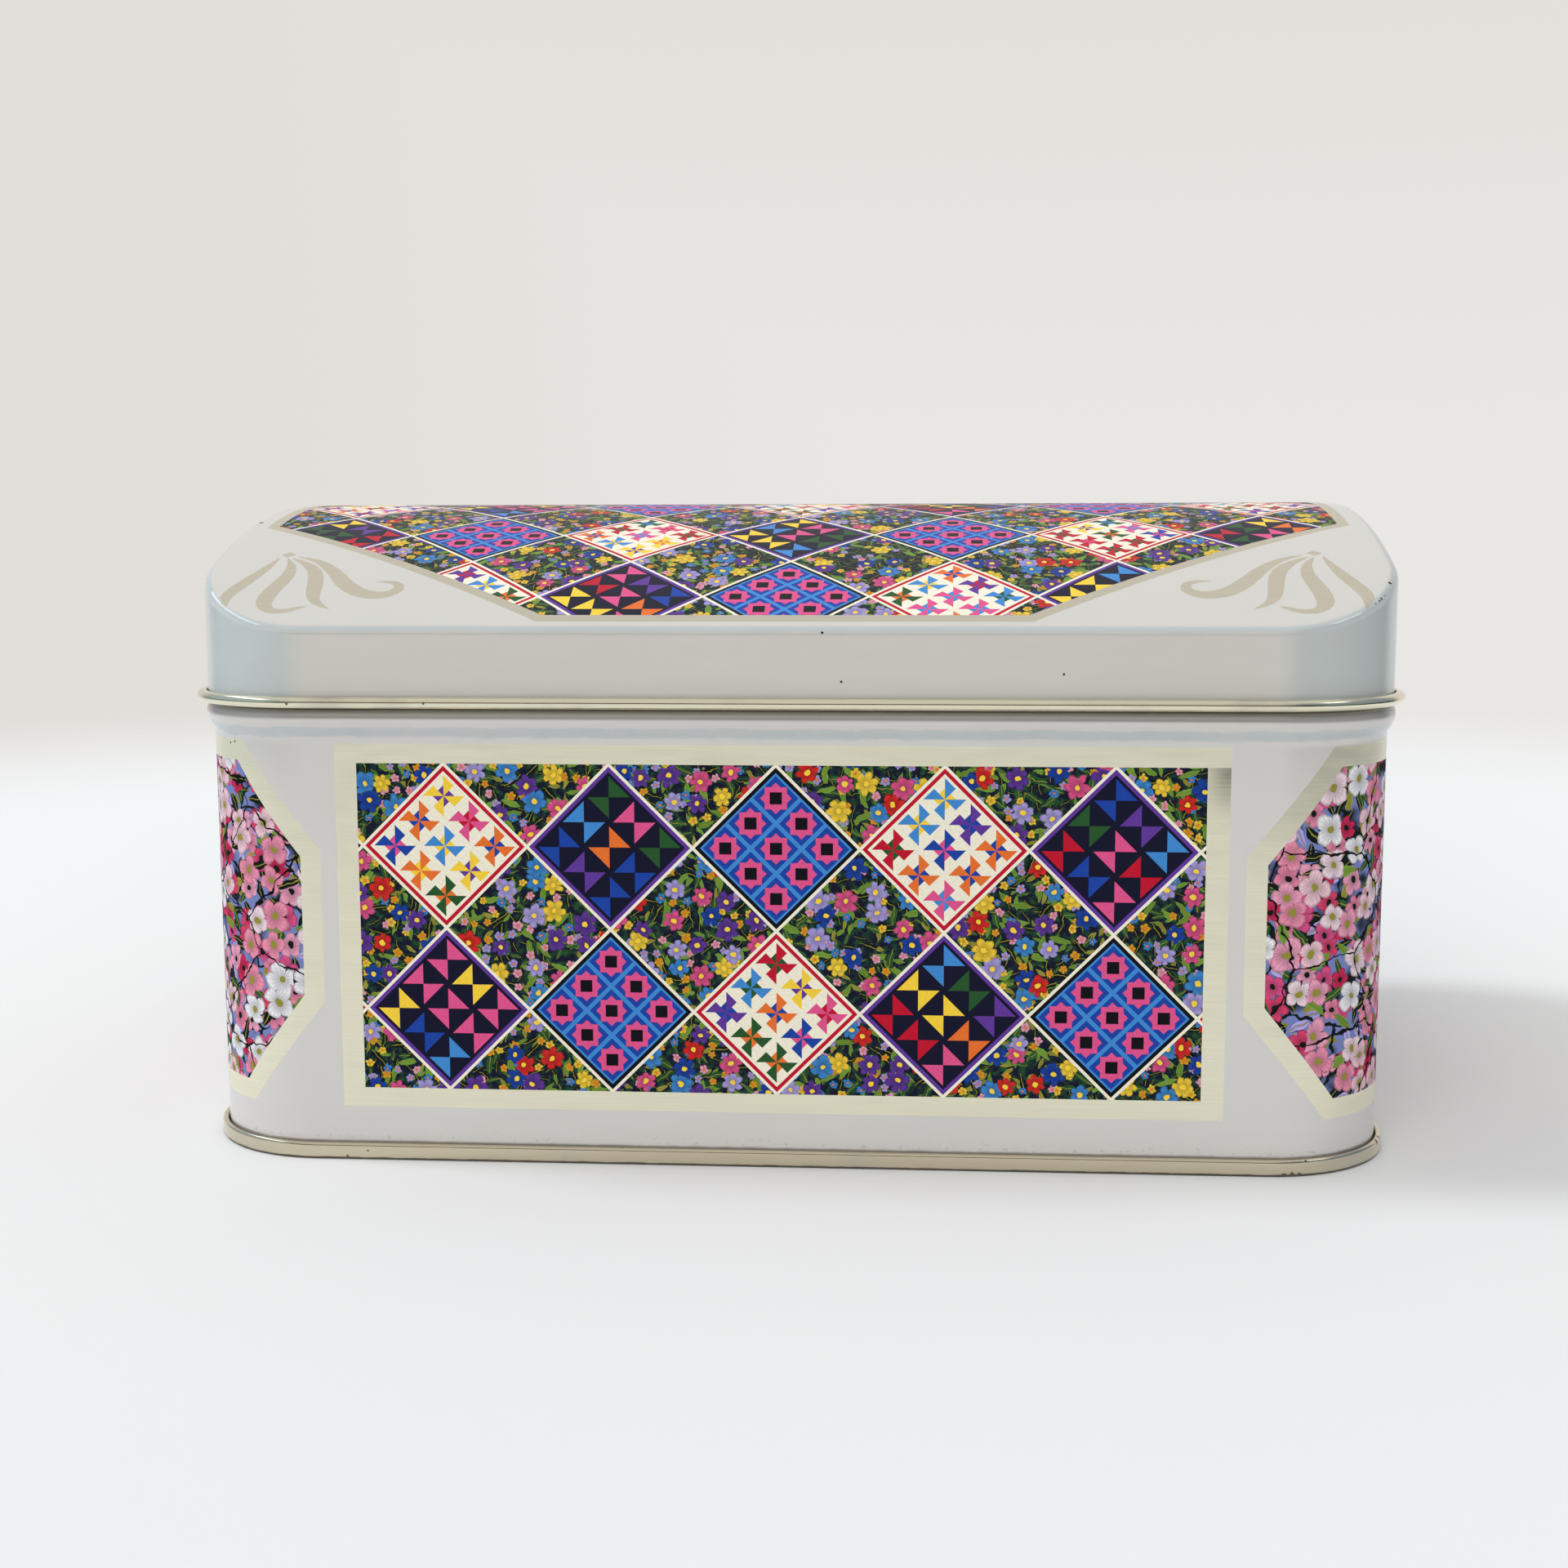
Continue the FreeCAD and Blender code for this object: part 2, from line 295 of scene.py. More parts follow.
def pick(chance, colours):
    """One of the colours, chosen by a number from 0 to 1, in equal shares."""
    stops = [(number / len(colours), colour) for number, colour in enumerate(colours)]
    return chance.node("ValToRGB", {"stops": ("CONSTANT", stops)}, {0: chance})


print("mid grey as a shader takes it", np.round(paint(128, 128, 128), 3))

# %% [markdown]
# A mask is a number from 0 to 1 over the surface. Soft ones come from a smooth step, chance ones from noise.
# Places are Object coordinates in millimetres, so that the sizes in a formula are those of the real tin.

# %% Places, steps and noise


def place_in_mm(ink):
    """Object coordinates in millimetres."""
    metres = ink.node("TexCoord", {}, {}, "Object")
    return ink.node("VectorMath", {"operation": "SCALE"}, {0: metres, "Scale": 1 / MM})


def spot(x, y):
    """Two numbers as one vector."""
    return x.node("CombineXYZ", {}, {"X": x, "Y": y})


def ramp(value, low, high):
    """0 below low, 1 above high, and a smooth step between them."""
    limits = {"From Min": low, "From Max": high}
    return value.node("MapRange", {"interpolation_type": "SMOOTHSTEP"}, {"Value": value, **limits})


def noise(place, scale, detail=2.0, rough=0.5):
    """Soft noise about 0.5, where scale is the number of blotches to one unit of the place."""
    sockets = {"Vector": place, "Scale": scale, "Detail": detail, "Roughness": rough}
    return place.node("TexNoise", {}, sockets, "Fac")


def wavered(place, scale, amount):
    """The place pushed about by noise: up to half the amount either way, so that drawn edges aren't exact."""
    push = place.node("TexNoise", {}, {"Vector": place, "Scale": scale, "Detail": 2.0}, "Color")
    push = push.vector("SUBTRACT", (0.5, 0.5, 0.5)).vector("MULTIPLY", (amount, amount, 0))
    return place.vector("ADD", push)


print("places in units of", MM, "m")

# %% Opening and closing a finish


def new_finish(name):
    """An empty material and an Ink to start its formulas from."""
    material = bpy.data.materials.new(name)
    material.use_nodes = True
    material.node_tree.nodes.clear()
    return material, Ink(material.node_tree)


def set_finish(ink, **sockets):
    """Closes a material with a Principled shader; an underscore in a socket's name stands for a space."""
    named = {name.replace("_", " "): value for name, value in sockets.items()}
    shader = ink.node("BsdfPrincipled", {}, named)
    ink.node("OutputMaterial", {}, {"Surface": shader})
    print("finish closed with", len(ink.tree.nodes), "nodes")


# %% [markdown]
# The pictures on such tins are crowded and bright. The design here is a generic patchwork set on point:
# squares of pieced blocks turned to stand on a corner, with squares of blossoms between them.
# Blossoms come from a Voronoi texture. Each of its cells gives a middle and a few chance numbers,
# and the petals are a radius that rises and falls as the angle goes round that middle.

# %% Inks, and places scattered at random
CREAM, IVORY, BLACK = paint(248, 241, 220), paint(246, 244, 248), paint(12, 10, 18)
NAVY = paint(18, 18, 44)
RED, SCARLET, PINK, ROSE = paint(196, 20, 48), paint(222, 44, 40), paint(228, 86, 142), paint(246, 168, 196)
YELLOW, AMBER, ORANGE = paint(252, 212, 66), paint(236, 168, 40), paint(236, 116, 48)
ROYAL, SKY, VIOLET, LILAC = paint(28, 68, 164), paint(66, 140, 212), paint(98, 58, 154), paint(176, 164, 226)
GRASS, LEAF, OLIVE, PINE = paint(104, 148, 54), paint(40, 86, 44), paint(148, 142, 56), paint(10, 22, 20)
BRIGHTS = [RED, ROYAL, YELLOW, LEAF, PINK, VIOLET, ORANGE, SKY]
FULL_TURN = 2 * np.pi


def scattered(place, spacing, jitter=0.75):
    """Voronoi cells: the way from the cell's middle in units of the spacing, and three chance numbers."""
    sockets = {"Vector": place, "Scale": 1 / spacing, "Randomness": jitter}
    middle = place.node("TexVoronoi", {"voronoi_dimensions": "2D"}, sockets, "Position")
    chance = middle.node("SeparateColor", {}, {0: middle.also("Color")})
    away = place.vector("SUBTRACT", middle).vector("DIVIDE", (spacing, spacing, 1))
    return away, chance, chance.also("Green"), chance.also("Blue")


print("bright inks", len(BRIGHTS))

# %% Blossoms


def blossoms(under, place, spacing, petals, reach, colours, eye, share=1.0):
    """Blossoms over a ground. A petal's edge lies at reach times (0.5 + 0.5 root |cos(petals * angle / 2)|).

    The petals darken towards the eye, along the lines between them and at their rim, and fine veins run out
    along them, as a brush would leave them.
    """
    away, hue, turn, chance = scattered(place, spacing)
    x, y, _ = away.parts()
    far = away.vector("LENGTH").also("Value")
    angle = y.math("ARCTAN2", x) + FULL_TURN * turn
    lobe = abs((angle * (petals / 2)).math("COSINE")) ** 0.5
    edge = (0.68 + 0.32 * chance) * reach * (0.5 + 0.5 * lobe)
    deep = far / edge
    vein = (angle * (petals * 5)).math("COSINE")
    shade = 0.4 + 0.66 * (deep & 1) * (0.4 + 0.6 * lobe) + 0.07 * vein
    shade = shade * (1 - 0.5 * ramp(deep, 0.8, 1.0))
    colour = toned(pick(hue, colours), shade + 0.3 * noise(place, 2.2) - 0.15)
    colour = blend(far < 0.19 * reach, colour, eye)
    return blend((deep < 1) & (chance < share), under, colour)


print("a blossom of 5 petals turns by", 360 / 5, "degrees from petal to petal")

# %% Leaves and twigs


def leaves(under, place, spacing, length, width, colours):
    """Leaves over a ground: half as wide as width times (1 - (along / length) squared), with a pale rib."""
    away, hue, turn, chance = scattered(place, spacing, 1.0)
    sockets = {"Vector": away, "Angle": FULL_TURN * turn}
    turned = away.node("VectorRotate", {"rotation_type": "Z_AXIS"}, sockets)
    x, y, _ = turned.parts()
    half = width * (1 - (x / length) ** 2)
    aside = abs(y)
    colour = toned(pick(hue, colours), 0.5 + 0.6 * (aside / width) + 0.35 * chance)
    colour = blend(aside < 0.12 * width, colour, OLIVE)
    return blend(aside < half, under, colour)


def twigs(under, place, spacing, half_width, colour):
    """Thin branching lines: the borders of wavered Voronoi cells, within half a width of the border."""
    sockets = {"Vector": wavered(place, 0.3, 3.0), "Scale": 1 / spacing, "Randomness": 1.0}
    settings = {"voronoi_dimensions": "2D", "feature": "DISTANCE_TO_EDGE"}
    border = place.node("TexVoronoi", settings, sockets, "Distance")
    return blend(border < half_width / spacing, under, colour)


print("leaves and twigs ready")

# %% Two flower beds


def mixed_bed(place):
    """Dark foliage, two layers of leaves, then small and large blossoms in many colours."""
    place = wavered(place, 0.7, 0.9)
    ground = blend(ramp(noise(place, 0.9), 0.4, 0.8), NAVY, LEAF)
    ground = leaves(ground, place, 1.9, 0.62, 0.18, [LEAF, PINE, GRASS, PINE, OLIVE])
    ground = leaves(ground, place.vector("ADD", (31, 17, 0)), 2.9, 0.66, 0.17, [LEAF, GRASS, PINE])
    small = [YELLOW, LILAC, AMBER, SKY, ROSE]
    ground = blossoms(ground, place.vector("ADD", (7, 53, 0)), 2.2, 5, 0.44, small, ORANGE, 0.6)
    large = [SCARLET, YELLOW, VIOLET, PINK, LILAC, SKY, ROYAL]
    return blossoms(ground, place, 4.7, 6, 0.48, large, YELLOW, 0.88)


def pink_sprays(place):
    """Sprays of pink and white blossoms with dark twigs, over leaves and blue shadow."""
    place = wavered(place, 0.35, 1.6)
    ground = blend(ramp(noise(place, 0.16), 0.38, 0.56), PINE, paint(120, 132, 190))
    ground = leaves(ground, place, 3.2, 0.66, 0.2, [LEAF, PINE, OLIVE, LILAC])
    ground = twigs(ground, place.vector("ADD", (4, 8, 0)), 7.0, 0.22, PINE)
    deep = [paint(212, 44, 92), PINK, paint(226, 70, 114), ROSE, paint(240, 140, 172)]
    ground = blossoms(ground, place.vector("ADD", (11, 5, 0)), 4.4, 5, 0.6, deep, PINE, 0.86)
    ground = leaves(ground, place.vector("ADD", (3, 29, 0)), 5.6, 0.44, 0.13, [LEAF, PINE, GRASS])
    pale = [paint(250, 208, 220), ROSE, paint(244, 152, 180), IVORY, paint(250, 226, 234)]
    ground = blossoms(ground, place, 5.6, 4, 0.6, pale, OLIVE, 0.92)
    return twigs(ground, place.vector("ADD", (19, 3, 0)), 16.0, 0.17, BLACK)


print("beds for the patchwork and for the two ends")

# %% [markdown]
# A pieced block is a square cut into triangles and squares, and each of the three here is a common one:
# a pinwheel, an eight-pointed star and a bow tie. Folding the place into a block with floor and abs lets
# one formula draw them all.

# %% One cell of each pieced block, in shares of the cell
PATCH_EDGE, HUB_EDGE = 0.42, 0.22
STAR_REACH, STAR_HEART, STAR_BORDER = 0.31, 0.24, 0.44


def block_cells(m, n, turned, first, second):
    """Pinwheel, star and bow tie in a cell, where m and n run from -0.5 to 0.5 across and up it.

    The triangles come from wide > high, which splits a square along its diagonals. The star is a square and a
    square on its corner laid over each other.
    """
    wide, high = abs(m), abs(n)
    square = wide | high
    inside = square < PATCH_EDGE
    split = wide > high
    blade = abs(((m * n) > 0) - split)
    pinwheel = blend(inside, CREAM, blend(blade, first, blend(square > HUB_EDGE, second, CREAM)))
    star = square & ((wide + high) * 0.5**0.5)
    stars = blend(star < STAR_REACH, ROYAL, PINK)
    stars = blend((wide + high) < STAR_HEART, stars, BLACK)
    stars = blend(square > STAR_BORDER, stars, SKY)
    bow_tie = blend(inside & abs(split - turned), NAVY, first)
    return pinwheel, stars, bow_tie


print("blocks: pinwheel, star and bow tie")

# %% Patchwork set on point
TILE_DIAGONAL = 27.4
SASH, CREAM_LINE = 0.455, 0.487


def patchwork(x, y):
    """Squares on point: rows of pieced blocks with rows of blossoms between them.

    Turning the place by 45 degrees gives the square's numbers (floor) and the place inside it (what is left).
    A block has three by three cells, and each cell draws its two colours by its own number.
    """
    along, up = (x + y) / TILE_DIAGONAL, (y - x) / TILE_DIAGONAL
    column, row = along.math("FLOOR"), up.math("FLOOR")
    a, b = along - column - 0.5, up - row - 0.5
    border = abs(a) | abs(b)
    pieced = ((column + row) % 2) < 0.5
    kind = ((column - row) * 0.5 + (column + row)) % 3

    fine_a, fine_b = (a / SASH + 1) * 1.5, (b / SASH + 1) * 1.5
    cell_a, cell_b = fine_a.math("FLOOR"), fine_b.math("FLOOR")
    number = spot(cell_a + 5 * column, cell_b + 7 * row)
    hue = number.node("TexWhiteNoise", {"noise_dimensions": "2D"}, {"Vector": number})
    first, second = pick(hue, BRIGHTS), pick((hue + 0.4) % 1, BRIGHTS)
    turned = ((cell_a + cell_b) % 2) > 0.5
    cells = block_cells(fine_a - cell_a - 0.5, fine_b - cell_b - 0.5, turned, first, second)

    pinwheel, stars, bow_tie = cells
    block = blend(kind < 1.5, bow_tie, blend(kind < 0.5, pinwheel, stars))
    sash = blend(kind < 1.5, VIOLET, blend(kind < 0.5, RED, BLACK))
    block = blend(border > SASH, block, sash)
    design = blend(pieced, mixed_bed(spot(x, y)), block)
    design = blend(border > CREAM_LINE, design, CREAM)
    return toned(design, 0.82 + 0.36 * noise(spot(x, y), 2.6, 3))


print("patchwork of squares", round(TILE_DIAGONAL / 2**0.5, 1), "mm wide, on point")

# %% [markdown]
# The enamel is a pale grey gloss. Foil lies flat in it, brushed along its length, and a clear varnish covers
# the whole sheet, thicker over the plain enamel than over the inks. Wear is small: dark specks where the
# enamel is chipped, and a little grime. One closing step serves the wall and the lid, so that both sheets
# look as if they came off one press.

# %% The varnished sheet
CHIP, GRIME_AND_SHADE = paint(58, 52, 48), paint(120, 110, 98)
VARNISH_IOR, VARNISH_HAZE = 2.0, 0.05


def chips(place, spots):
    """Chipped specks: places nearer to a spot than its radius, in millimetres, with an edge made ragged."""
    ragged = 0.25 + 1.5 * noise(place, 2.5, 3)
    found = 0
    for x, y, z, radius in spots:
        near = place.vector("DISTANCE", (x, y, z)).also("Value") * ragged
        found = (near < radius) | found
    return found


def varnished(ink, place, colour, gloss, gold, chipped):
    """Closes a printed sheet: faint mottling, brushed foil, dark chips, and slightly wavy varnish."""
    x, y, z = place.parts()
    mottle = noise(place, 0.045, 3)
    streak = noise(spot(x * 0.06 + y * 0.06, z * 6), 1.0, 3)
    colour = toned(colour, 0.975 + 0.05 * mottle - gold * (0.2 * streak - 0.1))
    colour = blend(chipped, colour, CHIP)
    rough = 0.3 + 0.1 * noise(place, 0.3, 3) + gold * 0.08 * streak + 0.3 * chipped
    coat = (gloss & (1 - 0.6 * gold)) * (1 - chipped)
    waves = noise(place.vector("MULTIPLY", (0.5, 0.5, 1.2)), 0.16, 2) - 0.1 * chipped
    bump = ink.node("Bump", {}, {"Strength": 1.0, "Distance": 0.3 * MM, "Height": waves})
    set_finish(ink, Base_Color=colour, Roughness=rough, Metallic=0.5 * gold, Normal=bump,
               Specular_IOR_Level=0.0, Coat_Weight=coat, Coat_IOR=VARNISH_IOR, Coat_Roughness=VARNISH_HAZE)


print("varnish ready")

# %% [markdown]
# The wall carries four panels: a rectangle in a foil frame on the front and the back, and a long octagon in
# a foil frame round each end. A panel runs round the corners, so the wall's print reads a UV map in metres:
# how far round the tin from the middle of the front, and how high.

# %% Panels on the wall, in millimetres
PRINT_SHIFT, PRINT_MID = -1.15, 39.6
FRAME_WIDE, FRAME_HIGH = 73.0, 30.65
PICTURE_WIDE, PICTURE_HIGH = 69.3, 27.4
END_WIDE, END_HIGH, END_BAND = 89.2, 30.75, 3.4
END_CUT_X, END_CUT_Z, END_CUT = 0.7826, 0.6226, 77.84


def wall_panels(across, end, high):
    """Masks of the front picture, the end picture and all foil.

    A rectangle is |across| and |high| under its half sizes. The octagon also cuts the corners off with a
    slant line, and its picture is the same octagon made smaller by the band.
    """
    rectangle = (abs(across) < FRAME_WIDE) & (abs(high) < FRAME_HIGH)
    picture = (abs(across) < PICTURE_WIDE) & (abs(high) < PICTURE_HIGH)
    cut = END_CUT_X * abs(end) + END_CUT_Z * abs(high) - END_CUT
    octagon = (abs(end) - END_WIDE) | (abs(high) - END_HIGH) | cut
    spray = octagon < -END_BAND
    return picture, spray, (rectangle - picture) | ((octagon < 0) - spray)


print("front panel", 2 * FRAME_WIDE, "by", 2 * FRAME_HIGH, "mm")

# %% Enamel, with a painted reflection and painted shade at the bead, and wear at the neck
ENAMEL, BEAD_REFLECTION = paint(213, 209, 205), paint(192, 199, 200)
SHADOW, SCUFF = paint(98, 91, 80), paint(156, 149, 134)
BEAD_REFLECTION_LOW, BEAD_REFLECTION_HIGH = (71.15, 71.45), (72.85, 73.15)
CURL_REST = 75.9
SHADE_RUB_START, SHADE_RUB_DEEP, SHADE_RUB_END = (-1.75, -1.2), (-1.2, 0), (0.3, 1.4)
SCUFF_START = (0.4, 1.4)


def enamel_with_wear_and_painted_light(place, u, z):
    """Enamel with a painted cool reflection on the bead, painted shade with rub grime under the lid's curl,
    and scuffs above it.

    The painted reflection wavers on the bead's lower half. The painted shade and the scuffs go by the rise
    above the place where the curl rests.
    """
    # Painted cool reflection on the bead's lower half.
    waver = z + 2.0 * noise(place, 0.12, 5, 0.65) - 1.0
    band = ramp(waver, *BEAD_REFLECTION_LOW) * (1 - ramp(waver, *BEAD_REFLECTION_HIGH))
    enamel = blend((0.4 + 0.9 * noise(place, 0.3, 3)) * band, ENAMEL, BEAD_REFLECTION)
    rise = z - CURL_REST
    # Painted shade under the lid's curl, with rub grime where the curl rests; it ends a little above.
    shade_and_rub = 0.5 * ramp(rise, *SHADE_RUB_START) + 0.4 * ramp(rise, *SHADE_RUB_DEEP)
    enamel = blend(shade_and_rub * (1 - ramp(rise, *SHADE_RUB_END)), enamel, SHADOW)
    scuffs = ramp(noise(spot(u * 1.2, z * 0.15), 1.0, 3), 0.54, 0.66) * ramp(rise, *SCUFF_START)
    return blend(0.4 * scuffs, enamel, SCUFF)


print("the lid's curl rests at", CURL_REST, "mm")

# %% Foil and its painted dark reflection
GOLD = paint(237, 233, 208)
LEG_DARK_REFLECTION, SLANT_DARK_REFLECTION = 0.6, 0.22
DARK_REFLECTION_DROP, DARK_REFLECTION_LEAD = 10, 2
SLANT_ALONG, SLANT_UP = (58, 76), (8, 24)


def foil_with_dark_reflection(u, z, across, end, high):
    """Gold foil, darker at the top of one leg of each front frame and on one slant of each end's frame."""
    # Painted dark reflection on the foil, at the top of one leg and on one slant.
    leg = (across > PICTURE_WIDE) & (high < PICTURE_HIGH) & (across < FRAME_WIDE)
    leg = leg * ramp(high, PICTURE_HIGH - DARK_REFLECTION_DROP, PICTURE_HIGH)
    leg = leg * ramp(across, PICTURE_WIDE - DARK_REFLECTION_LEAD, FRAME_WIDE)
    slant = (abs(end) < END_WIDE) * ramp(0 - end, *SLANT_ALONG) * ramp(high, *SLANT_UP)
    brushed = 0.5 + noise(spot(u * 0.1, z * 5), 1.0, 2)
    return toned(GOLD[:3], 1 - (LEG_DARK_REFLECTION * leg + SLANT_DARK_REFLECTION * slant) * brushed)


print("foil band round each end", END_BAND, "mm")

# %% The wall's print
WALL_CHIPS = ((-93.4, -68.3, 69.7, 0.22), (-92.3, -69.2, 70.0, 0.2))
WALL_INK_DULL = 0.94
SPECKS_END, CREVICE_SHADE_END, JOINT_HALF = (3.0, 5.5), (2.9, 3.4), 0.2


def wall_print():
    """Enamel, panels and foil; painted shade and grime above the seam, a dark back joint, specks low down."""
    material, ink = new_finish("printed_wall")
    place = place_in_mm(ink)
    round_tin, up, _ = ink.node("UVMap", {"uv_map": "wall"}, {}).parts()
    loop = PERIMETER / MM
    u, z = round_tin / MM - PRINT_SHIFT, up / MM
    across = (u + loop / 4) % (loop / 2) - loop / 4
    end = u % (loop / 2) - loop / 4
    high = z - PRINT_MID
    picture, spray, gold = wall_panels(across, end, high)
    colour = blend(gold, enamel_with_wear_and_painted_light(place, u, z), foil_with_dark_reflection(u, z, across, end, high))
    colour = blend(picture, colour, patchwork(across, high))
    colour = blend(spray, colour, pink_sprays(spot(end, high)))

    specks = ramp(noise(place, 1.3, 2), 0.6, 0.72) * (1 - ramp(z, *SPECKS_END))
    # Painted shade with grime in the crevice just above the seam.
    crevice_shade_and_grime = 1 - ramp(z + 0.3 * noise(place, 0.3, 3), *CREVICE_SHADE_END)
    joint = abs(abs(round_tin / MM) - loop / 2) < JOINT_HALF
    colour = blend((0.85 * crevice_shade_and_grime) | (0.3 * specks) | (0.5 * joint), colour, GRIME_AND_SHADE)
    gloss = 1 - WALL_INK_DULL * (picture | spray)
    varnished(ink, place, colour, gloss, gold, chips(place, WALL_CHIPS))
    return material


wall_finish = wall_print()

# %% [markdown]
# The lid has one long octagon over the vault and a flourish of four tapered strokes in each corner.
# Its print is laid out along the vault, so it reads x and the arc's length s = radius * arcsin(y / radius).
# A brush stroke is a line of points with a half-width at each, smoothed by a curve through its points.

# %% Flourish strokes, as x, s and half-width in millimetres
FLOURISH = (
    ((89.2, 53.2, 0.2), (89.8, 56.2, 0.65), (91.2, 60.9, 1.1), (93.1, 65.7, 1.25), (93.9, 68.8, 1.05),
     (93.2, 71.6, 0.25)),
    ((87.5, 53.4, 0.2), (86.0, 56.8, 0.8), (85.6, 61.0, 1.25), (86.7, 66.4, 1.5), (87.0, 69.8, 1.45),
     (86.4, 72.0, 1.1), (84.8, 73.3, 0.8), (82.6, 73.3, 0.62), (80.8, 72.4, 0.5), (79.6, 71.9, 0.15)),
    ((86.6, 53.2, 0.2), (83.6, 55.8, 0.8), (81.2, 59.2, 1.2), (80.0, 63.6, 1.35), (79.4, 67.4, 1.2),
     (78.2, 70.4, 0.75), (75.6, 72.6, 0.15)),
    ((85.7, 52.4, 0.2), (81.8, 54.6, 0.7), (78.0, 59.0, 1.2), (75.2, 63.4, 1.45), (72.0, 66.8, 1.45),
     (68.9, 68.0, 1.3), (66.6, 67.5, 1.1), (65.3, 66.0, 0.92), (65.6, 64.2, 0.72), (67.2, 63.2, 0.48),
     (69.6, 63.1, 0.12)),
)
LOZENGE_X, LOZENGE_S, LOZENGE_HALF = 87.9, 51.4, 1.32


def smoothed(line):
    """Twice as many points: halfway along a run the curve is at (9 * (both ends) - (next ones out)) / 16."""
    points = np.array(line)
    outer = np.vstack([2 * points[0] - points[1], points, 2 * points[-1] - points[-2]])
    half = (9 * (outer[1:-2] + outer[2:-1]) - outer[:-3] - outer[3:]) / 16
    path = np.empty((2 * len(points) - 1, 3))
    path[0::2], path[1::2] = points, half
    return path


print("flourish points", [len(smoothed(line)) for line in FLOURISH])

# %% A tapered stroke


def stroke(place, line):
    """How far a place lies inside a tapered stroke: the widest reading over its runs.

    On a run the share t of the way along it is clamped to 0 and 1, and the reading is the half-width at t
    less the distance to the point at t. A smooth maximum rounds the joints.
    """
    inside = None
    path = smoothed(line).tolist()
    for (x0, y0, w0), (x1, y1, w1) in zip(path, path[1:]):
        run = (x1 - x0, y1 - y0, 0)
        square = run[0] ** 2 + run[1] ** 2
        away = place.vector("SUBTRACT", (x0, y0, 0))
        share = (away.vector("DOT_PRODUCT", run).also("Value") / square & 1) | 0
        point = share.node("VectorMath", {"operation": "SCALE"}, {0: run, "Scale": share})
        reading = share * (w1 - w0) + w0 - away.vector("DISTANCE", point).also("Value")
        inside = reading if inside is None else inside.math("SMOOTH_MAX", reading, 0.2)
    return inside


print("strokes in a flourish", len(FLOURISH))

# %% The lid's print
LID_ENAMEL, LID_GOLD = paint(210, 207, 200), paint(205, 196, 175)
EDGE_REFLECTION, CORNER_SIDE_LIGHT = paint(188, 196, 196), paint(203, 208, 206)
LID_CORNER_X, LID_CORNER_Y, CORNER_FADE = 79.0, 53.0, (-2, 5)
TOP_UNDER, EDGE_REFLECTION_START, EDGE_REFLECTION_END, SKIRT_START = 0.35, (0.03, 0.12), (0.4, 0.9), (0.3, 1.0)
LID_INK_DULL = 0.72
LID_WIDE, LID_DEEP, LID_BAND = 96.6, 76.6, 2.0
LID_CUT_X, LID_CUT_S, LID_CUT = 0.591, 0.807, 85.6
LID_CHIPS = ((-99.1, -30.8, 106.1, 0.4), (98.3, -61.6, 96.0, 0.3), (96.7, -65.2, 94.1, 0.13),
             (96.1, -66.2, 93.6, 0.22), (95.7, -66.7, 93.3, 0.17), (94.9, -67.6, 92.9, 0.13),
             (6.5, -75.0, 88.6, 0.2), (9.5, -75.0, 80.7, 0.2), (45.0, -75.0, 82.0, 0.18))


def lid_print():
    """A long octagon in a foil band over the vault, and a flourish in each corner, on the top face alone.

    How far a place lies under the vault's arc tells the top from the rounded edge. A cool reflection
    is painted on the rounded edge, and cool side light on the skirt's corners.
    """
    material, ink = new_finish("printed_lid")
    place = place_in_mm(ink)
    x, y, z = place.parts()
    radius, centre = VAULT_RADIUS / MM, VAULT_CENTRE / MM
    s = (y / radius).math("ARCSINE") * radius
    wide, deep = abs(x), abs(s)
    under = radius - (y * y + (z - centre) ** 2) ** 0.5
    top = under < TOP_UNDER
    octagon = (wide - LID_WIDE) | (deep - LID_DEEP) | (LID_CUT_X * wide + LID_CUT_S * deep - LID_CUT)
    band, picture = top & (octagon < 0), top & (octagon < -LID_BAND)
    corner = spot(wide, deep)
    flourish = LOZENGE_HALF - abs(wide - LOZENGE_X) - abs(deep - LOZENGE_S)
    for line in FLOURISH:
        flourish = flourish | stroke(corner, line)
    gold = (band - picture) | (top & (flourish > 0))
    # Painted cool reflection along the rounded edge.
    waver = under + 0.5 * noise(place, 0.15, 3) - 0.25
    edge = ramp(under, *EDGE_REFLECTION_START) * (1 - ramp(waver, *EDGE_REFLECTION_END))
    # Painted cool side light on the skirt's corners.
    drawn = ramp(wide - LID_CORNER_X, *CORNER_FADE) * ramp(abs(y) - LID_CORNER_Y, *CORNER_FADE)
    enamel = blend(drawn * ramp(under, *SKIRT_START), LID_ENAMEL, CORNER_SIDE_LIGHT)
    colour = blend(gold, blend(0.9 * edge, enamel, EDGE_REFLECTION), LID_GOLD)
    colour = blend(picture, colour, patchwork(x, s))
    varnished(ink, place, colour, 1 - LID_INK_DULL * picture, gold, chips(place, LID_CHIPS))
    return material


lid_finish = lid_print()

# %% [markdown]
# The seam, the curl and the inside are the bare side of the sheet: tin under a thin pale gold lacquer.
# It is a true metal, so its colour comes from what it reflects. Fine streaks run along the roll, and a few
# rubbed marks and dark nicks sit where the tin has been set down and slid about. Along the foot's lowest
# line a dark contact shadow is painted, with worn lacquer.

